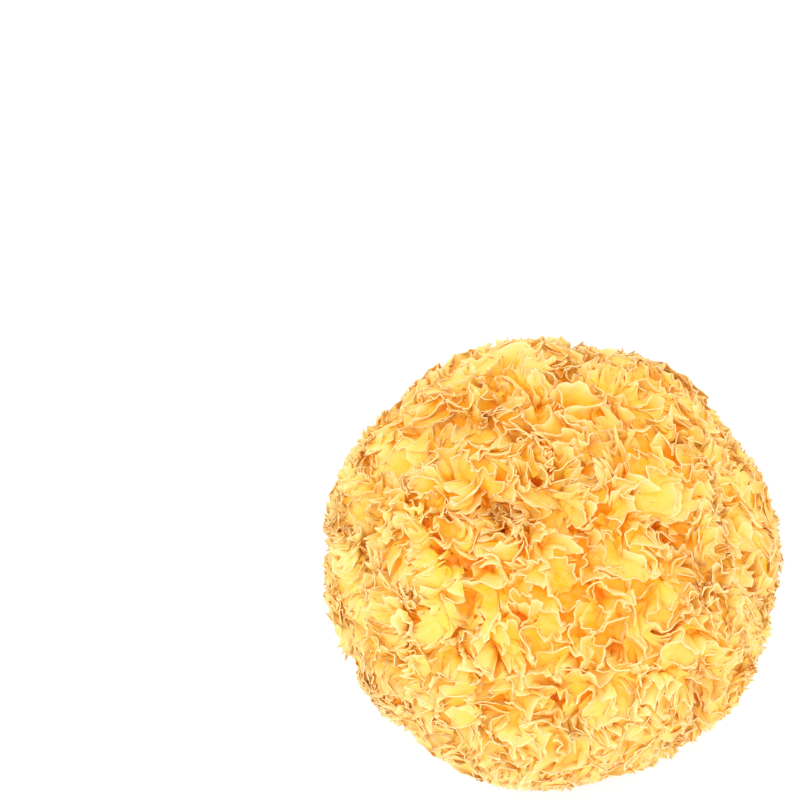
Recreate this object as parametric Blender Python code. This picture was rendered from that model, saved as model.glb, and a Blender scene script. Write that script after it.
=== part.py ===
"""A dried snow fungus head: one ball of crinkled, cup-forming membranes grown from a root that is cut flat.

The whole head grew as one piece, so it is one closed solid. Its surface is a network of cups. Each cup is a
pit, and the membranes between the pits stand as thin ridges that rise to a tip where three of them meet and
sag between two tips. Metres, +Z up, origin under the middle of the head on the surface it rests on.
"""

import math
import random

import bmesh
import bpy
from mathutils import Vector, noise

MM = 0.001

# Size of the head over the frond tips
HALF_WIDTH = 55 * MM
HALF_DEPTH = 55 * MM
HEART_HEIGHT = 31 * MM
CROWN_HEIGHT = 41 * MM
SKIRT_HEIGHT = 33 * MM
SQUARENESS = 2.25

# The root, cut flat where the head left its log, which the head rests on
ROOT_HALF_ANGLE = math.radians(37)
ROOT_BELOW_CUT = 0.8 * MM
FROND_ABOVE_FLOOR = 0.9 * MM

# The cups between the membranes
CUP_COUNT = 800
CUP_JITTER = 0.42
PIT_DEPTH = (4.2 * MM, 7.0 * MM)
TIP_DROP = (0.0 * MM, 1.6 * MM)
SAG_BETWEEN_TIPS = (-0.2 * MM, 1.2 * MM)

# How far the membranes lean sideways, and over what distance the lean changes
LEAN = 4.4 * MM
LEAN_WAVELENGTH = 15 * MM

# Swollen lobes with shallow valleys between them
LOBE_COUNT = 26
LOBE_SWELL = 1.2 * MM
VALLEY_DEPTH = 1.7 * MM
VALLEY_WIDTH = 0.075

# Deep clefts: where they point from the heart, which way they run, half length, half width, depth
CLEFTS = (
    (Vector((0.63, -0.72, 0.28)), Vector((0.2, 0.3, 0.9)), 9 * MM, 3.2 * MM, 6 * MM),
    (Vector((-0.40, 0.02, 0.92)), Vector((1.0, -0.3, 0.0)), 10 * MM, 4.0 * MM, 2.5 * MM),
    (Vector((0.55, -0.10, 0.83)), Vector((0.8, -0.6, 0.0)), 9 * MM, 3.0 * MM, 3 * MM),
)

FROND_COLOUR = (0.93, 0.60, 0.20, 1.0)
FROND_ROUGHNESS = 0.6


def clear_scene():
    for obj in list(bpy.data.objects):
        bpy.data.objects.remove(obj)


def spiral_directions(count, jitter, rng):
    """Directions spread evenly over a sphere along a golden spiral, each moved by a share of their spacing."""
    golden_angle = math.pi * (3 - math.sqrt(5))
    spacing = math.sqrt(4 * math.pi / count)
    directions = []
    for index in range(count):
        height = 1 - 2 * (index + 0.5) / count
        around = index * golden_angle
        across = math.sqrt(1 - height * height)
        push = Vector([rng.uniform(-1, 1) for _ in range(3)]) * jitter * spacing
        direction = Vector((across * math.cos(around), across * math.sin(around), height)) + push
        directions.append(direction.normalized())
    return directions


LOBES = spiral_directions(LOBE_COUNT, 0.5, random.Random(5))


def lobe_relief(direction):
    """Height over the smooth head: up on a lobe, down in the valley between two lobes."""
    gaps = sorted((direction - lobe).length for lobe in LOBES)
    valley = math.exp(-(((gaps[1] - gaps[0]) / VALLEY_WIDTH) ** 2))
    return LOBE_SWELL * (1 - gaps[0] / gaps[1]) - VALLEY_DEPTH * valley


def cleft_depth(direction, radius):
    """How far the deep clefts push the surface in along this direction."""
    depth = 0.0
    for towards, runs_along, half_length, half_width, deepest in CLEFTS:
        towards = towards.normalized()
        along = (runs_along - towards * runs_along.dot(towards)).normalized()
        across = towards.cross(along)
        offset = (direction - towards) * radius
        share = (offset.dot(along) / half_length) ** 2 + (offset.dot(across) / half_width) ** 2
        if direction.dot(towards) > 0:
            depth += deepest * math.exp(-share)
    return depth


def reach(direction):
    """Distance from the heart to the frond tips along a direction."""
    half_height = CROWN_HEIGHT if direction.z > 0 else SKIRT_HEIGHT
    outward = math.hypot(direction.x / HALF_WIDTH, direction.y / HALF_DEPTH)
    upward = abs(direction.z) / half_height
    radius = (outward**SQUARENESS + upward**SQUARENESS) ** (-1 / SQUARENESS)
    return radius + lobe_relief(direction) - cleft_depth(direction, radius)


def is_root(direction):
    return direction.angle(Vector((0, 0, -1))) < ROOT_HALF_ANGLE


def place(direction, drop, lean):
    """The point at a drop below the frond tips. On the root it lies just below the cut."""
    if is_root(direction):
        scale = (HEART_HEIGHT + ROOT_BELOW_CUT) / -direction.z
        return Vector((0, 0, HEART_HEIGHT)) + direction * scale
    point = direction * (reach(direction) - drop)
    push = noise.noise_vector(point / LEAN_WAVELENGTH)
    push -= direction * push.dot(direction)
    point += push * lean
    point.z = max(point.z + HEART_HEIGHT, FROND_ABOVE_FLOOR)
    return point


def hull_of(directions):
    """The triangles that join neighbouring cup middles over the sphere."""
    hull = bmesh.new()
    for direction in directions:
        hull.verts.new(direction)
    bmesh.ops.convex_hull(hull, input=hull.verts)
    bmesh.ops.recalc_face_normals(hull, faces=hull.faces)
    hull.verts.index_update()
    hull.faces.index_update()
    hull.edges.index_update()
    return hull


def crinkled_surface(hull, rng):
    """A pit at each point of the hull, a tip at each of its triangles and a sagging ridge across each edge."""
    mesh = bmesh.new()
    pits = [mesh.verts.new(place(v.co.normalized(), rng.uniform(*PIT_DEPTH), 0)) for v in hull.verts]
    tips = []
    for face in hull.faces:
        direction = face.calc_center_median().normalized()
        tips.append(mesh.verts.new(place(direction, rng.uniform(*TIP_DROP), LEAN)))
    for edge in hull.edges:
        first, second = edge.link_faces
        middle = first.calc_center_median() + second.calc_center_median()
        sag = rng.uniform(*SAG_BETWEEN_TIPS) + sum(TIP_DROP) / 2
        ridge = mesh.verts.new(place(middle.normalized(), sag, LEAN))
        for loop in edge.link_loops:
            here, there = pits[loop.vert.index], pits[loop.link_loop_next.vert.index]
            tip = tips[loop.face.index]
            mesh.faces.new((here, ridge, tip))
            mesh.faces.new((ridge, there, tip))
    return mesh


def cut_root(mesh):
    """Cuts the head flat at the floor and closes the cut with one face."""
    everything = mesh.verts[:] + mesh.edges[:] + mesh.faces[:]
    bmesh.ops.bisect_plane(mesh, geom=everything, plane_co=(0, 0, 0), plane_no=(0, 0, -1), clear_outer=True)
    rim = [edge for edge in mesh.edges if edge.is_boundary]
    bmesh.ops.contextual_create(mesh, geom=rim)


def centre_over_origin(mesh):
    """Moves the head sideways so that its box is centred on the origin."""
    for axis in (0, 1):
        values = [vertex.co[axis] for vertex in mesh.verts]
        middle = (min(values) + max(values)) / 2
        for vertex in mesh.verts:
            vertex.co[axis] -= middle


def frond_material():
    material = bpy.data.materials.new("dried_frond")
    material.use_nodes = True
    shader = material.node_tree.nodes["Principled BSDF"]
    shader.inputs["Base Color"].default_value = FROND_COLOUR
    shader.inputs["Roughness"].default_value = FROND_ROUGHNESS
    shader.inputs["Metallic"].default_value = 0.0
    return material


def snow_fungus_head():
    rng = random.Random(11)
    hull = hull_of(spiral_directions(CUP_COUNT, CUP_JITTER, rng))
    mesh = crinkled_surface(hull, rng)
    hull.free()
    cut_root(mesh)
    centre_over_origin(mesh)
    bmesh.ops.recalc_face_normals(mesh, faces=mesh.faces)
    data = bpy.data.meshes.new("snow_fungus_head")
    mesh.to_mesh(data)
    mesh.free()
    data.materials.append(frond_material())
    head = bpy.data.objects.new("snow_fungus_head", data)
    bpy.context.scene.collection.objects.link(head)


clear_scene()
snow_fungus_head()
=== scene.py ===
"""The looks of a dried snow fungus head: thin ruffled membranes that meet in cups, and its flat cut root.

The membranes are one network over the head. Seed points lie over the surface, each the middle of a cup, and a
thin wall stands between two neighbouring cups. Free flaps grow out of some walls and lean over the cups. The
points of all the walls are worked out at once with numpy arrays. Metres, +Z up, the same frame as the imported
model.

Words used below: the heart is the middle of the head, a junction is where three walls meet, a post is one
place along the walls, a row is one height on them, and a drop is how far a point lies below the head's
outermost surface.
"""
import math
import random
from collections import namedtuple

import bmesh
import bpy
import numpy as np
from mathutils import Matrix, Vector


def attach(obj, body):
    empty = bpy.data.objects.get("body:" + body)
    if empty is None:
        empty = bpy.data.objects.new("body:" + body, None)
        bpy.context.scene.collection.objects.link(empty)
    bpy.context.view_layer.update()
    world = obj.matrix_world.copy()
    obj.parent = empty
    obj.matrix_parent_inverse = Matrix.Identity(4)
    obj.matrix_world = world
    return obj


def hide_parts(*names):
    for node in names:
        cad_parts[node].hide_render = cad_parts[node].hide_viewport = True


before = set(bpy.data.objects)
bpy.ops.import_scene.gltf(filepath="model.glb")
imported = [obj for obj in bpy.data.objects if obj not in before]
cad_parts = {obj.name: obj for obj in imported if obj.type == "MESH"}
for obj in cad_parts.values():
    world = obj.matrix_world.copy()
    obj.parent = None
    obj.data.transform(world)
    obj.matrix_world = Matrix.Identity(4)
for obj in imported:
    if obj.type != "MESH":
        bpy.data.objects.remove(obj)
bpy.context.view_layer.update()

MM = 0.001

# The head's form, as in the part's source
HALF_WIDTH = 55 * MM
HALF_DEPTH = 55 * MM
HEART_HEIGHT = 31 * MM
CROWN_HEIGHT = 41 * MM
SKIRT_HEIGHT = 33 * MM
SQUARENESS = 2.25
ROOT_HALF_ANGLE = math.radians(37)
LOBE_COUNT = 26
LOBE_SWELL = 1.2 * MM
VALLEY_DEPTH = 1.7 * MM
VALLEY_WIDTH = 0.075

# Deep clefts: where they point from the heart, which way they run, half length, half width, depth
CLEFTS = (
    ((0.63, -0.72, 0.28), (0.2, 0.3, 0.9), 9 * MM, 3.2 * MM, 6 * MM),
    ((-0.40, 0.02, 0.92), (1.0, -0.3, 0.0), 10 * MM, 4.0 * MM, 2.5 * MM),
    ((0.55, -0.10, 0.83), (0.8, -0.6, 0.0), 9 * MM, 3.0 * MM, 3 * MM),
)

HEART = np.array([0, 0, HEART_HEIGHT])

# The cups: how far apart their middles are, how that changes over the head, and how deep the cups are
DART_COUNT = 80000
CUP_SPACING = 2.4 * MM
SPACING_WAVELENGTH = 26 * MM
SPACING_CHANGE = 0.28
SPACING_LIMITS = (0.6, 1.6)
WIDER_ON_CROWN = 0.34
WIDER_BELOW = 0.3
FINER_IN_CLEFT = 0.3
CUP_FLOOR = (2.4 * MM, 6.6 * MM)
DEEP_CUP = 3.0 * MM
DEEP_SHARE = 0.12
FLANK_FLOOR = 0.6

# The walls between the cups. A gone wall stays low, so that its two cups open into each other
WALL_STEP = 0.5 * MM
WALL_HALF_THICKNESS = 0.13 * MM
FOOT_THICKENING = 1.2
JUNCTION_THINNING = 0.55
LEAST_WALL = 0.3 * MM
GONE_SHARE = 0.36
GONE_SAG = (0.7, 1.0)
GONE_STEEPNESS = 0.25
STANDING_STEEPNESS = 1.3
TIP_DROP = 1.8 * MM
RIM_SAG = (0.1 * MM, 1.6 * MM)
RIM_TEETH = 0.2 * MM
WALL_BOW = (0.10, 0.07)
RUFFLED_SHARE = 0.75
RUFFLE_HEIGHT = (0.1 * MM, 0.85 * MM)
RUFFLE_LENGTH = (1.5 * MM, 4.0 * MM)
LIP_CURL = 0.7 * MM

# How far the membranes lean sideways at their tips, in waves of three sizes
FULL_LEAN_HEIGHT = 8 * MM
BROAD_LEAN = 1.1 * MM
MID_LEAN = 1.7 * MM
FINE_LEAN = 0.28 * MM

# Rows of points from a wall's rim towards the middle of the cup: shares of the way in and of the way down
ROW_IN = (0.0, 0.0, 0.0, 0.06, 0.32)
ROW_DOWN = (0.0, 0.10, 0.36, 0.66, 0.90)
ROWS = len(ROW_IN)
ROUNDNESS = 1.25
CORE_BELOW_FLOOR = 1.2 * MM

# How many pieces the network has around the crown
SIDE_COUNT = 5

# Free flaps that grow out of the walls
FLAP_COUNT = 520
FLAP_ACROSS = 10
FLAP_UP = 6
FLAP_HALF_THICKNESS = 0.11 * MM
SHORTEST_SEAM = 1.6 * MM
LOWEST_FLAP = -0.6

# The root, cut flat: the mean radius of the cut, and how far its plug reaches up into the head
ROOT_RADIUS = 22 * MM
ROOT_TOP = 12.5 * MM
ROOT_AROUND = 170

# The plug's side from the cut upwards: share of the cut's radius, and height
ROOT_SIDE = (
    (1.0, 0.5 * MM),
    (1.04, 2.0 * MM),
    (1.05, 4.0 * MM),
    (0.98, 7.0 * MM),
    (0.8, 10.0 * MM),
    (0.4, 12.0 * MM),
)

# The least height of a membrane over the floor, and the angle past which an edge is shaded sharp
FLOOR_GAP = 0.4 * MM
SHARP_ANGLE = math.radians(60)

# The grid that shows how much membrane lies over a place, which sets the painted shade under the membranes:
# its boxes, and the counts for no and full cover
CROWD_BOX = 0.8 * MM
CROWD_MARGIN = 6
COVER_HEIGHTS = (1.0 * MM, 1.8 * MM, 2.6 * MM, 3.4 * MM, 4.2 * MM)
FULL_COVER = (2.0, 12.0)

# What the painted shade and highlight follow: the deepest drop, how fast the painted highlight along a rim
# fades, and how deep a rim still gets it
DEEPEST = 9 * MM
RIM_HIGHLIGHT_FADE = 0.2 * MM
RIM_HIGHLIGHT_DROP = 2.5 * MM

# The light that passes one face of a membrane: how much of it, and its colour
THROUGH_SHARE = 0.92
THROUGH_COLOUR = (1.0, 0.80, 0.10, 1)

# Colours of the membranes from their rims (0) down to the floor of the deepest cup (1): golden at the rims,
# then painted shade that turns them orange and dark red deeper in the cups
CROWN_COLOURS_WITH_DEPTH_SHADE = (
    (0.0, (1.0, 0.67, 0.235)),
    (0.2, (1.0, 0.66, 0.16)),
    (0.4, (1.0, 0.60, 0.050)),
    (0.6, (1.0, 0.41, 0.010)),
    (0.8, (0.80, 0.13, 0.002)),
    (1.0, (0.45, 0.035, 0.001)),
)
FLANK_COLOURS_WITH_DEPTH_SHADE = (
    (0.0, (1.0, 0.72, 0.29)),
    (0.3, (1.0, 0.71, 0.18)),
    (0.55, (1.0, 0.64, 0.06)),
    (0.9, (0.95, 0.35, 0.01)),
)
# Painted highlight along the rims
RIM_HIGHLIGHT_COLOUR = (1.0, 0.79, 0.42)
# Painted shade where a membrane faces the heart
INWARD_SHADE_COLOUR = (1.0, 0.60, 0.02)
# Painted shade in the deep clefts
CLEFT_SHADE_COLOUR = (0.97, 0.36, 0.025)
# Painted shade under other membranes
COVER_SHADE_COLOUR = (1.0, 0.34, 0.008)
PATCH_COLOUR = (1.0, 0.47, 0.06)
MOTTLE_COLOUR = (1.0, 0.71, 0.25)
# Dark specks of painted shade, for tiny shadowed holes
SHADOW_SPECK_COLOUR = (0.42, 0.13, 0.012)
ROOT_COLOURS = ((0.50, 0.22, 0.045), (0.85, 0.52, 0.17))

# The camera, and how far to the right of and below the middle of the picture the head lies
CAMERA_LENS = 100
CAMERA_ELEVATION = math.radians(68)
CAMERA_DISTANCE = 0.5305
HEAD_CENTRE = Vector((0, 0, 0.036))
HEAD_RIGHT = 36.4 * MM
HEAD_DOWN = 36.75 * MM


def unit(vectors):
    return vectors / np.linalg.norm(vectors, axis=-1, keepdims=True)


def dot(first, second):
    return np.sum(first * second, axis=-1)


def wavy_field(seed, wavelength, count=24):
    """A smooth random field of vectors about one unit long: sine waves of about this wavelength, added up."""
    rng = np.random.default_rng(seed)
    directions = unit(rng.normal(size=(count, 3)))
    turns = directions * 2 * math.pi / (wavelength * rng.uniform(0.7, 1.4, (count, 1)))
    phases = rng.uniform(0, 2 * math.pi, (3, count))

    def field(points):
        angles = points @ turns.T
        waves = [np.sin(angles + phase).sum(axis=-1) for phase in phases]
        return np.stack(waves, axis=-1) * math.sqrt(2 / count)

    return field


BROAD_WAVES = wavy_field(31, 17 * MM)
MID_WAVES = wavy_field(32, 7.5 * MM)
FINE_WAVES = wavy_field(33, 2.2 * MM)


def spiral_directions(count, jitter, rng):
    """Directions spread evenly over a sphere along a spiral, each moved by a share of their spacing."""
    golden_angle = math.pi * (3 - math.sqrt(5))
    spacing = math.sqrt(4 * math.pi / count)
    directions = []
    for index in range(count):
        height = 1 - 2 * (index + 0.5) / count
        around = index * golden_angle
        across = math.sqrt(1 - height * height)
        push = Vector([rng.uniform(-1, 1) for _ in range(3)]) * jitter * spacing
        direction = Vector((across * math.cos(around), across * math.sin(around), height)) + push
        directions.append(direction.normalized())
    return directions


LOBES = np.array(spiral_directions(LOBE_COUNT, 0.5, random.Random(5)))


def cleft_shares(directions, radius):
    """How near each direction is to the middle of each deep cleft, from 0 to 1."""
    shares = []
    for towards, runs_along, half_length, half_width, _ in CLEFTS:
        towards = unit(np.array(towards))
        along = unit(np.array(runs_along) - towards * np.dot(runs_along, towards))
        across = np.cross(towards, along)
        offset = (directions - towards) * radius[..., None]
        share = (offset @ along / half_length) ** 2 + (offset @ across / half_width) ** 2
        shares.append(np.exp(-share) * (directions @ towards > 0))
    return np.stack(shares)


def reach(directions):
    """Distance from the heart to the frond tips along each direction, as in the part's source."""
    half_height = np.where(directions[..., 2] > 0, CROWN_HEIGHT, SKIRT_HEIGHT)
    outward = np.hypot(directions[..., 0] / HALF_WIDTH, directions[..., 1] / HALF_DEPTH)
    upward = np.abs(directions[..., 2]) / half_height
    radius = (outward**SQUARENESS + upward**SQUARENESS) ** (-1 / SQUARENESS)
    gaps = np.sort(np.linalg.norm(directions[..., None, :] - LOBES, axis=-1), axis=-1)
    valley = np.exp(-(((gaps[..., 1] - gaps[..., 0]) / VALLEY_WIDTH) ** 2))
    relief = LOBE_SWELL * (1 - gaps[..., 0] / gaps[..., 1]) - VALLEY_DEPTH * valley
    for cleft, share in zip(CLEFTS, cleft_shares(directions, radius)):
        relief = relief - cleft[-1] * share
    return radius + relief


def placed(directions, radius, drop, aside=0.0):
    """Points at a drop below the tips, leaning sideways more the nearer they are to the tips."""
    points = directions * (radius - drop)[..., None]
    height = np.clip(1 - drop / FULL_LEAN_HEIGHT, 0, 1.1)[..., None]
    lean = BROAD_LEAN * height**1.3 * BROAD_WAVES(points)
    lean += MID_LEAN * height * MID_WAVES(points)
    lean += FINE_LEAN * height * FINE_WAVES(points)
    lean += aside
    lean -= directions * dot(lean, directions)[..., None]
    points = points + lean
    points[..., 2] = np.maximum(points[..., 2] + HEART_HEIGHT, FLOOR_GAP)
    return points


def cup_middles(rng):
    """Directions of the cups' middles: darts thrown at the head that keep their distance from each other."""
    spread = wavy_field(21, SPACING_WAVELENGTH)
    darts = unit(rng.normal(size=(DART_COUNT, 3)))
    points = darts * reach(darts)[:, None]
    apart = CUP_SPACING * np.clip(1 + SPACING_CHANGE * spread(points)[:, 0], *SPACING_LIMITS)
    on_crown = np.clip(darts[:, 2] * 1.3, 0, 1)
    below = np.clip(-darts[:, 2] * 3 - 0.9, 0, 1)
    apart *= 0.98 + WIDER_ON_CROWN * on_crown + WIDER_BELOW * below
    apart *= 1 - FINER_IN_CLEFT * cleft_shares(darts, reach(darts)).max(axis=0)
    kept = np.empty((0, 3))
    chosen = []
    for index in range(len(points)):
        if not chosen or np.min(np.sum((kept - points[index]) ** 2, axis=1)) > apart[index] ** 2:
            chosen.append(index)
            kept = points[chosen]
    return darts[chosen]


class Network:
    """The cups, the junctions where three of them meet and the walls between them, with their random heights.

    A wall runs from its start junction to its end junction with its left cup on the left, seen from outside.
    """

    def __init__(self, rng):
        self.middles = cup_middles(rng)
        hull = bmesh.new()
        for direction in self.middles:
            hull.verts.new(direction)
        bmesh.ops.convex_hull(hull, input=hull.verts)
        bmesh.ops.recalc_face_normals(hull, faces=hull.faces)
        hull.verts.index_update()
        hull.faces.index_update()
        self.junctions = np.array([face.normal for face in hull.faces])
        self.corners = np.array([[vert.index for vert in face.verts] for face in hull.faces])
        walls = []
        for edge in hull.edges:
            loop, other = edge.link_loops
            left, right = loop.vert.index, loop.link_loop_next.vert.index
            walls.append((other.face.index, loop.face.index, left, right))
        hull.free()
        self.start, self.end, self.left, self.right = np.array(walls).T

        self.is_root = -self.middles[:, 2] > math.cos(ROOT_HALF_ANGLE)
        self.cup_reach = reach(self.middles)
        low, high = CUP_FLOOR
        self.cup_floor = low + (high - low) * rng.beta(1.6, 2.2, len(self.middles))
        self.cup_floor += DEEP_CUP * (rng.random(len(self.middles)) < DEEP_SHARE)
        self.cup_floor *= FLANK_FLOOR + (1 - FLANK_FLOOR) * np.clip(self.middles[:, 2] * 1.5, 0, 1)
        self.tip_drop = TIP_DROP * rng.beta(1.3, 1.8, len(self.junctions))
        count = len(self.start)
        self.is_gone = rng.random(count) < GONE_SHARE
        shallow = np.minimum(self.cup_floor[self.left], self.cup_floor[self.right])
        gone_sag = shallow * rng.uniform(*GONE_SAG, count)
        self.sag = np.where(self.is_gone, gone_sag, rng.uniform(*RIM_SAG, count))
        self.bow = rng.normal(size=(count, 2)) * WALL_BOW
        self.ruffle = rng.uniform(*RUFFLE_HEIGHT, count) * (rng.random(count) < RUFFLED_SHARE)
        self.ruffle_length = rng.uniform(*RUFFLE_LENGTH, count)
        self.ruffle_start = rng.uniform(0, 2 * math.pi, count)
        self.curl = rng.normal(size=count) * LIP_CURL
        self.leaving = self.through_directions()

    def through_directions(self):
        """The direction in which each wall leaves its start and its end junction.

        Two of the three walls at a junction pass through it as one smooth curve. A gone wall isn't one of
        them where two others stand.
        """
        count = len(self.start)
        ends = np.argsort(np.concatenate([self.start, self.end]), kind="stable").reshape(-1, 3)
        wall, is_end = ends % count, ends // count
        far = self.junctions[np.where(is_end == 0, self.end[wall], self.start[wall])]
        chord = unit(far - self.junctions[:, None])
        others = ((1, 2), (2, 0), (0, 1))
        straightness = np.stack([dot(chord[:, one], chord[:, two]) for one, two in others], axis=1)
        odd = np.argmin(straightness - 10 * self.is_gone[wall], axis=1)
        here = np.arange(len(ends))
        first, second = (odd + 1) % 3, (odd + 2) % 3
        through = unit(far[here, second] - far[here, first])
        chord[here, first] = -through
        chord[here, second] = through
        leaving = np.empty((2, count, 3))
        leaving[is_end, wall] = chord
        return leaving


WallPaths = namedtuple("WallPaths", "path aside drop ruffle curl")


def wall_paths(net, members, count, teeth_rng):
    """Directions along some walls at count + 1 places each, and their rims' drops, ruffles and curls."""
    share = np.linspace(0, 1, count + 1)
    arch = np.maximum(np.sin(math.pi * share), 0)
    first, last = net.junctions[net.start[members]], net.junctions[net.end[members]]
    aside = unit(np.cross(last - first, last + first) + 1e-12)[:, None]
    span = np.linalg.norm(last - first, axis=1)[:, None]
    bow = span * (net.bow[members, :1] * arch**2 + net.bow[members, 1:] * np.sin(2 * math.pi * share) * arch)
    leave, arrive = net.leaving[:, members][:, :, None] * span[..., None]
    to_last = (share**2 * (3 - 2 * share))[:, None]
    path = first[:, None] * (1 - to_last) + last[:, None] * to_last
    path += leave * (ROUNDNESS * share * (1 - share) ** 2)[:, None]
    path += arrive * (ROUNDNESS * (1 - share) * share**2)[:, None]
    path = unit(path + aside * bow[..., None])
    first_drop, last_drop = net.tip_drop[net.start[members]], net.tip_drop[net.end[members]]
    drop = first_drop[:, None] * (1 - share) + last_drop[:, None] * share
    steepness = np.where(net.is_gone[members], GONE_STEEPNESS, STANDING_STEEPNESS)[:, None]
    drop = drop + net.sag[members][:, None] * arch**steepness
    drop = drop + teeth_rng.random(drop.shape) * RIM_TEETH * np.minimum(1, arch * 3)
    along = share * span * net.cup_reach[net.left[members]][:, None]
    turn = 2 * math.pi * along / net.ruffle_length[members][:, None]
    turn += net.ruffle_start[members][:, None]
    ruffle = net.ruffle[members][:, None] * np.sin(turn) * np.minimum(1, arch * 1.5)
    curl = net.curl[members][:, None] * arch
    return WallPaths(path, aside, drop, ruffle, curl)


def sideways_push(paths, down):
    """How far a wall's ruffle and its curled lip push it aside at a share of its height below the rim."""
    push = paths.ruffle * (1 - down) ** 1.3 + paths.curl * (1 - down) ** 2.6
    return paths.aside * push[..., None]


class Surface:
    """The points and triangles of the whole network, one closed surface of cups and thin walls.

    Each post has one column of points on either side of its wall, and at a junction one in each of its three
    cups.
    """

    def __init__(self, net, rng):
        self.net = net
        length = np.linalg.norm(net.junctions[net.start] - net.junctions[net.end], axis=1)
        steps = np.clip(np.round(length * net.cup_reach[net.left] / WALL_STEP), 2, 16).astype(int)
        spots = len(net.junctions)
        inner_posts = np.cumsum(steps - 1)
        self.posts = spots + inner_posts[-1]
        self.columns = 3 * spots + 2 * inner_posts[-1]
        self.first_middle = self.columns * ROWS
        self.first_core = self.first_middle + len(net.middles)
        total = self.first_core + self.posts * ROWS
        self.points = np.zeros((total, 3))
        self.thickening = np.zeros((total, 3))
        self.drop = np.full(total, FULL_LEAN_HEIGHT)
        self.below_rim = np.full(total, FULL_LEAN_HEIGHT)
        self.post_of_column = np.repeat(np.arange(spots), 3)
        self.post_of_column = np.append(self.post_of_column, spots + np.repeat(np.arange(inner_posts[-1]), 2))
        self.triangles, self.owners = [], []
        for count in np.unique(steps):
            members = np.flatnonzero(steps == count)
            offset = (inner_posts - (steps - 1))[members][:, None] + np.arange(count - 1)
            self.make_walls(members, offset, wall_paths(net, members, count, rng))
        self.make_middles()
        self.points += self.thickening
        self.points[:, 2] = np.maximum(self.points[:, 2], FLOOR_GAP)
        self.triangles = np.concatenate(self.triangles)
        self.owners = np.concatenate(self.owners)

    def add(self, first, second, third, owner):
        self.triangles.append(np.stack(np.broadcast_arrays(first, second, third), axis=-1).reshape(-1, 3))
        self.owners.append(np.broadcast_to(owner, first.shape).reshape(-1))

    def columns_along(self, members, offset, side):
        """Column numbers along the walls, in the left cup for side 0 and the right cup for side 1."""
        net = self.net
        cup = (net.left, net.right)[side][members]
        ends = []
        for spot in (net.start[members], net.end[members]):
            ends.append((3 * spot + np.argmax(net.corners[spot] == cup[:, None], axis=1))[:, None])
        inner = 3 * len(net.junctions) + 2 * offset + side
        return np.concatenate([ends[0], inner, ends[1]], axis=1)

    def make_walls(self, members, offset, paths):
        net = self.net
        path, drop = paths.path, paths.drop
        radius = reach(path)
        sides = []
        for side, cup in enumerate((net.left[members], net.right[members])):
            columns = self.columns_along(members, offset, side)
            sides.append(columns * ROWS)
            middle = net.middles[cup][:, None]
            floor = np.maximum(net.cup_floor[cup][:, None], drop + LEAST_WALL)
            sheet = np.empty((*path.shape[:2], ROWS, 3))
            for row in range(ROWS):
                down = ROW_DOWN[row]
                at_row = unit(path * (1 - ROW_IN[row]) + middle * ROW_IN[row])
                row_radius = radius * (1 - ROW_IN[row]) + net.cup_reach[cup][:, None] * ROW_IN[row]
                row_drop = drop + (floor - drop) * down
                sheet[:, :, row] = placed(at_row, row_radius, row_drop, sideways_push(paths, down))
                self.drop[columns * ROWS + row] = row_drop
                self.below_rim[columns * ROWS + row] = row_drop - drop
            outward = unit(np.cross(np.gradient(sheet, axis=1), np.gradient(sheet, axis=2)) + 1e-12)
            thickness = WALL_HALF_THICKNESS * (1 + FOOT_THICKENING * np.array(ROW_DOWN))[:, None]
            outward *= thickness * (1 - 2 * side)
            outward[:, [0, -1]] *= JUNCTION_THINNING
            index = columns[..., None] * ROWS + np.arange(ROWS)
            self.points[index] = sheet
            np.add.at(self.thickening, index, outward)
        self.make_core(members, offset, paths, radius)
        left, right = sides
        owner_left, owner_right = net.left[members][:, None], net.right[members][:, None]
        self.add(left[:, :-1], right[:, :-1], right[:, 1:], owner_left)
        self.add(left[:, :-1], right[:, 1:], left[:, 1:], owner_left)
        for row in range(ROWS - 1):
            here, there = left[:, :-1] + row, left[:, 1:] + row
            self.add(here, there, there + 1, owner_left)
            self.add(here, there + 1, here + 1, owner_left)
            here, there = right[:, :-1] + row, right[:, 1:] + row
            self.add(there, here, here + 1, owner_right)
            self.add(there, here + 1, there + 1, owner_right)
        last = ROWS - 1
        middle_left = self.first_middle + owner_left
        self.add(left[:, :-1] + last, left[:, 1:] + last, middle_left, owner_left)
        middle_right = self.first_middle + owner_right
        self.add(right[:, 1:] + last, right[:, :-1] + last, middle_right, owner_right)

    def make_core(self, members, offset, paths, radius):
        """Points in the middle of the walls' thickness, for the hidden faces between two pieces."""
        net = self.net
        path, drop = paths.path, paths.drop
        floors = net.cup_floor[net.left[members]], net.cup_floor[net.right[members]]
        shallow = np.maximum(np.minimum(*floors)[:, None], drop + LEAST_WALL)
        deep = np.maximum(np.maximum(*floors)[:, None], drop) + CORE_BELOW_FLOOR
        start, end = net.start[members][:, None], net.end[members][:, None]
        posts = np.concatenate([start, len(net.junctions) + offset, end], axis=1)
        for row in range(1, ROWS):
            down = ROW_DOWN[row]
            row_drop = drop + (shallow - drop) * down
            core = placed(path, radius, row_drop, sideways_push(paths, down))
            self.points[self.first_core + posts * ROWS + row - 1] = core
        self.points[self.first_core + posts * ROWS + ROWS - 1] = placed(path, radius, deep)

    def make_middles(self):
        net = self.net
        cups = slice(self.first_middle, self.first_core)
        self.points[cups] = placed(net.middles, net.cup_reach, net.cup_floor)
        self.drop[cups] = net.cup_floor
        corners = (3 * np.arange(len(net.junctions))[:, None] + np.arange(3)) * ROWS
        self.add(corners[:, 0], corners[:, 1], corners[:, 2], net.corners[:, 0])

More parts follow.
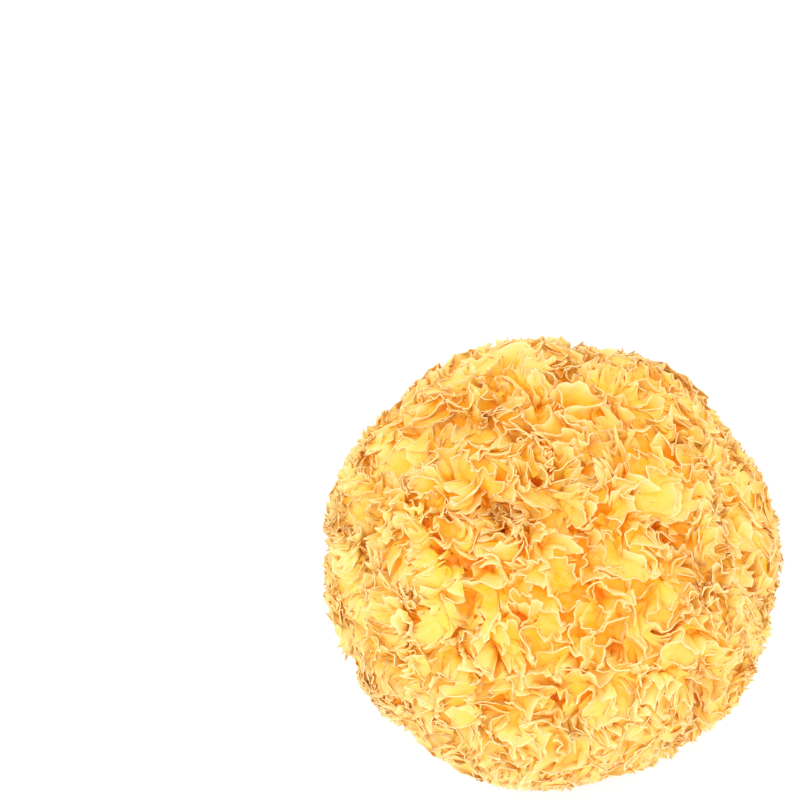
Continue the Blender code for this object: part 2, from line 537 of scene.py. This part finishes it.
    def closed_part(self, cups):
        """The triangles of these cups, closed by faces that run down inside the walls and on to the heart."""
        triangles = self.triangles[cups[self.owners]]
        size = len(self.points)
        edges = np.concatenate([triangles[:, [0, 1]], triangles[:, [1, 2]], triangles[:, [2, 0]]])
        is_open = ~np.isin(edges[:, 0] * size + edges[:, 1], edges[:, 1] * size + edges[:, 0])
        here, there = edges[is_open].T
        post_here = self.post_of_column[here // ROWS]
        post_there = self.post_of_column[there // ROWS]
        apart = post_here != post_there
        below_here = self.first_core + post_here * ROWS
        below_there = self.first_core + post_there * ROWS
        faces = [triangles, np.stack([there, here, below_here], axis=1)]
        faces.append(np.stack([there, below_here, below_there], axis=1)[apart])
        for row in range(ROWS - 1):
            first, second = below_here[apart] + row, below_there[apart] + row
            faces.append(np.stack([second, first, first + 1], axis=1))
            faces.append(np.stack([second, first + 1, second + 1], axis=1))
        heart = np.full(np.count_nonzero(apart), size)
        last = ROWS - 1
        faces.append(np.stack([below_there[apart] + last, below_here[apart] + last, heart], axis=1))
        return np.concatenate(faces)


def make_piece(name, points, triangles, attributes, material):
    """A mesh object of the points that these triangles use, smooth but for the membranes' thin edges."""
    used, triangles = np.unique(triangles, return_inverse=True)
    mesh = bpy.data.meshes.new(name)
    mesh.from_pydata(points[used], [], triangles.reshape(-1, 3))
    mesh.shade_smooth()
    mesh.set_sharp_from_angle(angle=SHARP_ANGLE)
    attributes = {key: values[used] for key, values in attributes.items()}
    # How far each point faces the heart, which sets the painted shade on inward faces
    attributes["inward_shade"] = inward_share(mesh, points[used])
    for key, values in attributes.items():
        mesh.attributes.new(key, "FLOAT", "POINT").data.foreach_set("value", values.astype(np.float32))
    mesh.materials.append(material)
    mesh.update()
    piece = bpy.data.objects.new(name, mesh)
    bpy.context.scene.collection.objects.link(piece)
    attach(piece, "root")
    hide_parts("snow_fungus_head")


def from_heart(points):
    """Directions from the heart to these points. The heart itself gets a direction too."""
    return unit(points - HEART + 1e-9)


def inward_share(mesh, points):
    """How far each point of the mesh faces the heart: 0 where it faces out, 1 where it faces in."""
    normals = np.empty(3 * len(points))
    mesh.vertex_normals.foreach_get("vector", normals)
    facing_out = dot(normals.reshape(-1, 3), from_heart(points))
    return np.clip((0.55 - facing_out) / 1.2, 0, 1)


class Crowd:
    """How much membrane lies in the small boxes of a grid through the head."""

    def __init__(self, points):
        self.low = points.min(axis=0) - CROWD_MARGIN * CROWD_BOX
        shape = np.ceil((points.max(axis=0) - self.low) / CROWD_BOX).astype(int) + CROWD_MARGIN
        self.last = shape - 1
        self.counts = np.zeros(shape)
        np.add.at(self.counts, tuple(self.box_of(points).T), 1.0)
        for _ in range(2):
            for axis in range(3):
                sides = np.roll(self.counts, 1, axis=axis) + np.roll(self.counts, -1, axis=axis)
                self.counts = 0.5 * self.counts + 0.25 * sides

    def box_of(self, points):
        return np.clip(((points - self.low) / CROWD_BOX).astype(int), 0, self.last)

    def above(self, points):
        """How much membrane lies over each point, between it and the outside of the head."""
        outward = from_heart(points)
        total = np.zeros(len(points))
        for height in COVER_HEIGHTS:
            total += self.counts[tuple(self.box_of(points + outward * height).T)]
        return total


def looks_of(points, drop, below_rim, crowd):
    """What the membranes' colours follow at each point, each from 0 to 1.

    How deep it lies and how near the middle of a cleft, both for painted shade; how much membrane covers it,
    for painted shade;
    how near it is to a rim, for a painted highlight; and how far down the flank of the head.
    """
    outward = from_heart(points)
    radius = np.linalg.norm(points - HEART + 1e-9, axis=-1)
    flank = np.clip((0.85 - outward[:, 2]) / 0.6, 0, 1)
    # Painted shade under other membranes
    cover_shade = np.clip((crowd.above(points) - FULL_COVER[0]) / (FULL_COVER[1] - FULL_COVER[0]), 0, 1)
    near_surface = np.clip(1.3 - drop / RIM_HIGHLIGHT_DROP, 0, 1)
    return {
        "depth": np.clip(drop / DEEPEST, 0, 1),
        "cleft": cleft_shares(outward, radius).max(axis=0),
        "cover_shade": cover_shade * (1 - 0.7 * flank),
        # Painted highlight along the rims, dimmed where they lie deep or under other membranes
        "rim_highlight": 0.85 * near_surface * (1 - 0.7 * cover_shade) * np.exp(-below_rim / RIM_HIGHLIGHT_FADE),
        "flank": flank,
    }


def make_fronds(net, rng, material):
    """The network in six pieces, one on the crown and five around it. Returns how crowded they lie."""
    surface = Surface(net, rng)
    points = np.concatenate([surface.points, [HEART]])
    drop = np.append(surface.drop, FULL_LEAN_HEIGHT)
    below_rim = np.append(surface.below_rim, FULL_LEAN_HEIGHT)
    turns = np.radians(np.arange(SIDE_COUNT) * 360 / SIDE_COUNT + 18)
    crowd = Crowd(surface.points[:surface.first_core])
    anchors = [(0, 0, 1.0)] + [(math.cos(turn), math.sin(turn), -0.1) for turn in turns]
    names = ["fronds_crown"] + [f"fronds_side_{number + 1}" for number in range(SIDE_COUNT)]
    nearest = np.argmax(net.middles @ unit(np.array(anchors)).T, axis=1)
    looks = looks_of(points, drop, below_rim, crowd)
    for index, name in enumerate(names):
        triangles = surface.closed_part((nearest == index) & ~net.is_root)
        make_piece(name, points, triangles, looks, material)
    return crowd


def flap_walls(net, rng):
    """Standing walls that a flap can grow out of: not on the underside, and not too short."""
    standing = np.flatnonzero(~net.is_gone & ~net.is_root[net.left] & ~net.is_root[net.right])
    standing = standing[net.junctions[net.start[standing]][:, 2] > LOWEST_FLAP]
    span = np.linalg.norm(net.junctions[net.start[standing]] - net.junctions[net.end[standing]], axis=1)
    standing = standing[span * net.cup_reach[net.left[standing]] > SHORTEST_SEAM]
    return rng.choice(standing, FLAP_COUNT, replace=False)


def flap_middles(net, rng):
    """Points in the middle of each flap's thickness, their drops and how far they lie below its rim."""
    members = flap_walls(net, rng)
    first, last = net.junctions[net.start[members]], net.junctions[net.end[members]]
    aside = unit(np.cross(last - first, last + first))[:, None, None]
    along = unit(last - first)[:, None, None]
    any_phase = (0, 6.28)

    def each(low, high):
        return rng.uniform(low, high, FLAP_COUNT)[:, None, None]

    across = np.linspace(-1, 1, FLAP_ACROSS)[None, :, None]
    up = np.linspace(0, 1, FLAP_UP)[None, None, :]
    root_drop = each(3.6, 5.6) * MM
    rise = root_drop - each(0.2, 1.6) * MM
    side = np.sign(rng.uniform(-1, 1, FLAP_COUNT))[:, None, None]
    reach_aside = each(0.6, 3.4) * MM * side
    half_width = each(0.8, 2.0) * MM * (0.8 + 0.5 * up)
    teeth = rng.random((FLAP_COUNT, FLAP_ACROSS, 1)) * 0.09
    rounding = 0.22 * across**2 * each(0.3, 2)
    waves = 0.07 * np.sin(across * each(2, 5) + each(*any_phase))
    height = up * (1 - rounding - waves - teeth)
    ruffle = each(0.1, 0.6) * MM * np.sin(across * each(1.5, 4.5) + each(*any_phase)) * up**2
    curl = each(-1.2, 1.2) * MM * across**2 * up
    sideways = reach_aside * height**1.4 + ruffle + curl
    lengthways = across * half_width + each(-0.6, 0.6) * MM * up
    start = unit((first + last)[:, None, None] / 2)
    place = start * reach(start)[..., None]
    direction = unit(place + aside * sideways[..., None] + along * lengthways[..., None])
    drop = root_drop - rise * height * (1 - 0.18 * height * each(0, 1))
    middle = placed(direction, reach(direction), drop)
    return middle, drop, np.broadcast_to(rise * (1 - up), drop.shape)


def make_flaps(net, rng, material, crowd):
    """Free flaps that grow out of standing walls below the rim and lean over the cup beside them."""
    middle, drop, below_rim = flap_middles(net, rng)
    half = unit(np.cross(np.gradient(middle, axis=1), np.gradient(middle, axis=2))) * FLAP_HALF_THICKNESS
    sheets = np.stack([middle - half, middle + half], axis=1)
    sheets[..., 2] = np.maximum(sheets[..., 2], FLOOR_GAP)

    size = FLAP_ACROSS * FLAP_UP
    grid = np.arange(size).reshape(FLAP_ACROSS, FLAP_UP)
    a, b, c, d = (corner.ravel() for corner in (grid[:-1, :-1], grid[1:, :-1], grid[1:, 1:], grid[:-1, 1:]))
    top = np.concatenate([np.stack([a, b, c], axis=1), np.stack([a, c, d], axis=1)])
    border = np.concatenate([grid[:, 0], grid[-1, 1:], grid[-2::-1, -1], grid[0, -2:0:-1]])
    following = np.roll(border, -1)
    edge = np.concatenate([
        np.stack([border, following, following + size], axis=1),
        np.stack([border, following + size, border + size], axis=1),
    ])
    one_flap = np.concatenate([top + size, top[:, ::-1], edge])
    triangles = (one_flap[None] + 2 * size * np.arange(FLAP_COUNT)[:, None, None]).reshape(-1, 3)
    points = sheets.reshape(-1, 3)
    drops = np.broadcast_to(drop[:, None], sheets.shape[:-1]).ravel()
    below_rims = np.broadcast_to(below_rim[:, None], sheets.shape[:-1]).ravel()
    make_piece("free_flaps", points, triangles, looks_of(points, drops, below_rims, crowd), material)


def attribute(nodes, name):
    node = nodes.new("ShaderNodeAttribute")
    node.attribute_name = name
    return node.outputs["Fac"]


def colour_ramp(nodes, links, share, stops):
    node = nodes.new("ShaderNodeValToRGB")
    ramp = node.color_ramp
    while len(ramp.elements) < len(stops):
        ramp.elements.new(0.5)
    for element, (position, colour) in zip(ramp.elements, stops):
        element.position = position
        element.color = (*colour, 1)
    links.new(share, node.inputs["Fac"])
    return node.outputs["Color"]


def noise_share(nodes, links, place, size, low, high, most, detail=2.0):
    """A patchy share from 0 to the most, with patches of about this size."""
    noise = nodes.new("ShaderNodeTexNoise")
    noise.inputs["Scale"].default_value = 1 / size
    noise.inputs["Detail"].default_value = detail
    links.new(place, noise.inputs["Vector"])
    spread = nodes.new("ShaderNodeMapRange")
    spread.inputs["From Min"].default_value = low
    spread.inputs["From Max"].default_value = high
    spread.inputs["To Max"].default_value = most
    links.new(noise.outputs["Fac"], spread.inputs["Value"])
    return spread.outputs["Result"]


def mixed(nodes, links, share, first, second):
    """The first colour turning into the second as the share goes from 0 to 1."""
    node = nodes.new("ShaderNodeMix")
    node.data_type = "RGBA"
    links.new(share, node.inputs["Factor"])
    for socket, colour in ((node.inputs["A"], first), (node.inputs["B"], second)):
        if isinstance(colour, tuple):
            socket.default_value = (*colour, 1)
        else:
            links.new(colour, socket)
    return node.outputs["Result"]


def scaled(nodes, links, share, most):
    """The share times the most that it may be."""
    node = nodes.new("ShaderNodeMath")
    node.operation = "MULTIPLY"
    node.inputs[1].default_value = most
    links.new(share, node.inputs[0])
    return node.outputs["Value"]


def shadow_speck_share(nodes, links, place):
    """Sparse small dark specks of painted shade, for tiny shadowed holes: the middles of some cells of a cell
    pattern.
    """
    cells = nodes.new("ShaderNodeTexVoronoi")
    cells.inputs["Scale"].default_value = 1 / (2.6 * MM)
    links.new(place, cells.inputs["Vector"])
    near = nodes.new("ShaderNodeMapRange")
    near.inputs["From Min"].default_value = 0.11
    near.inputs["From Max"].default_value = 0.05
    links.new(cells.outputs["Distance"], near.inputs["Value"])
    chosen = nodes.new("ShaderNodeMath")
    chosen.operation = "GREATER_THAN"
    chosen.inputs[1].default_value = 0.8
    links.new(cells.outputs["Color"], chosen.inputs[0])
    share = nodes.new("ShaderNodeMath")
    share.operation = "MULTIPLY"
    links.new(near.outputs["Result"], share.inputs[0])
    links.new(chosen.outputs["Value"], share.inputs[1])
    return share.outputs["Value"]


def frond_material():
    """Dried membrane: golden, turned orange to red by painted shade where it is deep, in clefts, under other
    membranes and where it faces the heart, paler down the flanks, and with a painted highlight along its edge.
    """
    material = bpy.data.materials.new("dried_frond_membrane")
    material.use_nodes = True
    nodes, links = material.node_tree.nodes, material.node_tree.links
    shader = nodes["Principled BSDF"]
    shader.inputs["Specular IOR Level"].default_value = 0.02
    place = nodes.new("ShaderNodeTexCoord").outputs["Object"]
    depth = attribute(nodes, "depth")
    # Painted shade: the colour darkens and reddens with depth in the cups
    crown = colour_ramp(nodes, links, depth, CROWN_COLOURS_WITH_DEPTH_SHADE)
    flank = colour_ramp(nodes, links, depth, FLANK_COLOURS_WITH_DEPTH_SHADE)
    colour = mixed(nodes, links, attribute(nodes, "flank"), crown, flank)
    # Painted shade: orange where a membrane faces the heart and in the clefts
    for key, most, tint in (("inward_shade", 0.65, INWARD_SHADE_COLOUR), ("cleft", 0.55, CLEFT_SHADE_COLOUR)):
        colour = mixed(nodes, links, scaled(nodes, links, attribute(nodes, key), most), colour, tint)
    patches = noise_share(nodes, links, place, 14 * MM, 0.46, 0.72, 0.42, detail=1.0)
    colour = mixed(nodes, links, patches, colour, PATCH_COLOUR)
    mottle = noise_share(nodes, links, place, 1.8 * MM, 0.42, 0.75, 0.5)
    colour = mixed(nodes, links, mottle, colour, MOTTLE_COLOUR)
    # Painted shade where other membranes lie over the surface
    cover_shade = scaled(nodes, links, attribute(nodes, "cover_shade"), 0.6)
    colour = mixed(nodes, links, cover_shade, colour, COVER_SHADE_COLOUR)
    # Painted highlight along the rims
    colour = mixed(nodes, links, attribute(nodes, "rim_highlight"), colour, RIM_HIGHLIGHT_COLOUR)
    # Dark specks of painted shade
    colour = mixed(nodes, links, shadow_speck_share(nodes, links, place), colour, SHADOW_SPECK_COLOUR)
    links.new(colour, shader.inputs["Base Color"])

    spread = nodes.new("ShaderNodeMapRange")
    spread.inputs["From Max"].default_value = 0.5
    spread.inputs["To Min"].default_value = 0.5
    spread.inputs["To Max"].default_value = 0.72
    links.new(mottle, spread.inputs["Value"])
    links.new(spread.outputs["Result"], shader.inputs["Roughness"])
    wrinkles = noise_share(nodes, links, place, 1.1 * MM, 0.0, 1.0, 1.0)
    bump = nodes.new("ShaderNodeBump")
    bump.inputs["Strength"].default_value = 0.5
    bump.inputs["Distance"].default_value = 0.25 * MM
    links.new(wrinkles, bump.inputs["Height"])
    links.new(bump.outputs["Normal"], shader.inputs["Normal"])
    let_light_through(nodes, links, shader, depth)
    return material


def let_light_through(nodes, links, shader, depth):
    """Light that falls on a thin membrane partly goes through it and comes out orange. The heart stops it."""
    path = nodes.new("ShaderNodeLightPath")
    either = nodes.new("ShaderNodeMath")
    either.operation = "MAXIMUM"
    thinness = nodes.new("ShaderNodeMapRange")
    thinness.inputs["From Min"].default_value = 0.35
    thinness.inputs["From Max"].default_value = 0.65
    thinness.inputs["To Min"].default_value = THROUGH_SHARE
    thinness.inputs["To Max"].default_value = 0.0
    share = nodes.new("ShaderNodeMath")
    share.operation = "MULTIPLY"
    links.new(depth, thinness.inputs["Value"])
    links.new(thinness.outputs["Result"], share.inputs[1])
    through = nodes.new("ShaderNodeBsdfTransparent")
    through.inputs["Color"].default_value = THROUGH_COLOUR
    both = nodes.new("ShaderNodeMixShader")
    links.new(path.outputs["Is Shadow Ray"], either.inputs[0])
    links.new(path.outputs["Is Diffuse Ray"], either.inputs[1])
    links.new(either.outputs["Value"], share.inputs[0])
    links.new(share.outputs["Value"], both.inputs["Fac"])
    links.new(shader.outputs["BSDF"], both.inputs[1])
    links.new(through.outputs["BSDF"], both.inputs[2])
    links.new(both.outputs["Shader"], nodes["Material Output"].inputs["Surface"])


def make_cut_root():
    """A low plug in the middle of the underside, cut flat and rough, that the head rests on."""
    turn = np.linspace(0, 2 * math.pi, ROOT_AROUND, endpoint=False)
    waves = 0.045 * np.sin(2 * turn + 0.6) + 0.03 * np.sin(5 * turn + 2.0) + 0.02 * np.sin(11 * turn + 4.0)
    outline = ROOT_RADIUS * (1 + waves + 0.012 * np.sin(29 * turn))
    rough, grain = wavy_field(41, 3.5 * MM), wavy_field(42, 1.1 * MM)

    def flat_ring(share):
        return np.stack([outline * share * np.cos(turn), outline * share * np.sin(turn), 0 * turn], axis=1)

    rings = []
    for share in np.linspace(0.03, 0.97, 34):
        ring = flat_ring(share)
        fibres = 0.1 * np.sin(47 * turn + 9 * share) * share
        dents = 0.22 * rough(ring)[:, 0] + 0.12 * grain(ring)[:, 0] + fibres
        ring[:, 2] = np.clip(dents, 0, 0.6) * MM
        rings.append(ring)
    for share, height in ROOT_SIDE:
        ring = flat_ring(share)
        ring[:, 2] = height + 0.15 * MM * np.sin(31 * turn + height / MM)
        rings.append(ring)
    points = np.concatenate([*rings, [[0, 0, 0.1 * MM], [0, 0, ROOT_TOP]]])
    here = np.arange(ROOT_AROUND)
    there = np.roll(here, -1)
    bottom, top = len(points) - 2, len(points) - 1
    faces = [np.stack([here, np.full(ROOT_AROUND, bottom), there], axis=1)]
    for ring in range(len(rings) - 1):
        low, high = ring * ROOT_AROUND, (ring + 1) * ROOT_AROUND
        faces.append(np.stack([low + here, low + there, high + there], axis=1))
        faces.append(np.stack([low + here, high + there, high + here], axis=1))
    last = (len(rings) - 1) * ROOT_AROUND
    faces.append(np.stack([last + here, last + there, np.full(ROOT_AROUND, top)], axis=1))
    fibre = 0.5 + 0.25 * rough(points)[:, 0] + 0.25 * grain(points)[:, 1]
    make_piece("cut_root", points, np.concatenate(faces), {"fibre": fibre}, root_material())


def root_material():
    """Dried flesh of the root: ochre, in darker and lighter patches that follow wavy fields."""
    material = bpy.data.materials.new("dried_root")
    material.use_nodes = True
    nodes, links = material.node_tree.nodes, material.node_tree.links
    shader = nodes["Principled BSDF"]
    shader.inputs["Roughness"].default_value = 0.75
    colour = mixed(nodes, links, attribute(nodes, "fibre"), *ROOT_COLOURS)
    links.new(colour, shader.inputs["Base Color"])
    return material


def floor_material():
    """White ground that glows a little, so that the head's shade on it stays faint."""
    material = bpy.data.materials.new("floor_paper")
    material.use_nodes = True
    shader = material.node_tree.nodes["Principled BSDF"]
    shader.inputs["Base Color"].default_value = (0.62, 0.62, 0.62, 1)
    shader.inputs["Roughness"].default_value = 0.9
    shader.inputs["Emission Color"].default_value = (1, 1, 1, 1)
    shader.inputs["Emission Strength"].default_value = 0.5
    return material


def make_floor():
    mesh = bpy.data.meshes.new("floor")
    half = 3.0
    corners = [(-half, -half, 0), (half, -half, 0), (half, half, 0), (-half, half, 0)]
    mesh.from_pydata(corners, [], [(0, 1, 2, 3)])
    mesh.materials.append(floor_material())
    floor = bpy.data.objects.new("floor", mesh)
    bpy.context.scene.collection.objects.link(floor)


def look_from(thing, place, target):
    thing.location = place
    thing.rotation_euler = (Vector(target) - Vector(place)).to_track_quat("-Z", "Y").to_euler()


def make_lights():
    for name, place, size, watts in (
        ("light_above_left", (-0.55, -0.25, 1.1), 0.9, 2.8),
        ("light_front_right", (0.7, -0.9, 0.8), 0.8, 2.0),
    ):
        light = bpy.data.lights.new(name, "AREA")
        light.size = size
        light.energy = watts
        lamp = bpy.data.objects.new(name, light)
        bpy.context.scene.collection.objects.link(lamp)
        look_from(lamp, place, (0, 0, 0.03))
    world = bpy.data.worlds.new("soft_white")
    world.use_nodes = True
    world.node_tree.nodes["Background"].inputs["Color"].default_value = (1, 1, 1, 1)
    world.node_tree.nodes["Background"].inputs["Strength"].default_value = 1.2
    bpy.context.scene.world = world
    bpy.context.scene.view_settings.view_transform = "Standard"


def make_camera():
    camera_data = bpy.data.cameras.new("camera")
    camera_data.lens = CAMERA_LENS
    camera_data.sensor_width = 36
    camera = bpy.data.objects.new("camera", camera_data)
    bpy.context.scene.collection.objects.link(camera)
    level, steep = math.cos(CAMERA_ELEVATION), math.sin(CAMERA_ELEVATION)
    back = Vector((0, -level, steep))
    up = Vector((0, steep, level))
    aim = HEAD_CENTRE + Vector((-HEAD_RIGHT, 0, 0)) + up * HEAD_DOWN
    camera.location = aim + back * CAMERA_DISTANCE
    camera.rotation_euler = (-back).to_track_quat("-Z", "Y").to_euler()
    bpy.context.scene.camera = camera


def dress_head():
    rng = np.random.default_rng(7)
    net = Network(rng)
    material = frond_material()
    crowd = make_fronds(net, rng, material)
    make_flaps(net, rng, material, crowd)
    make_cut_root()


make_camera()
make_lights()
make_floor()
dress_head()
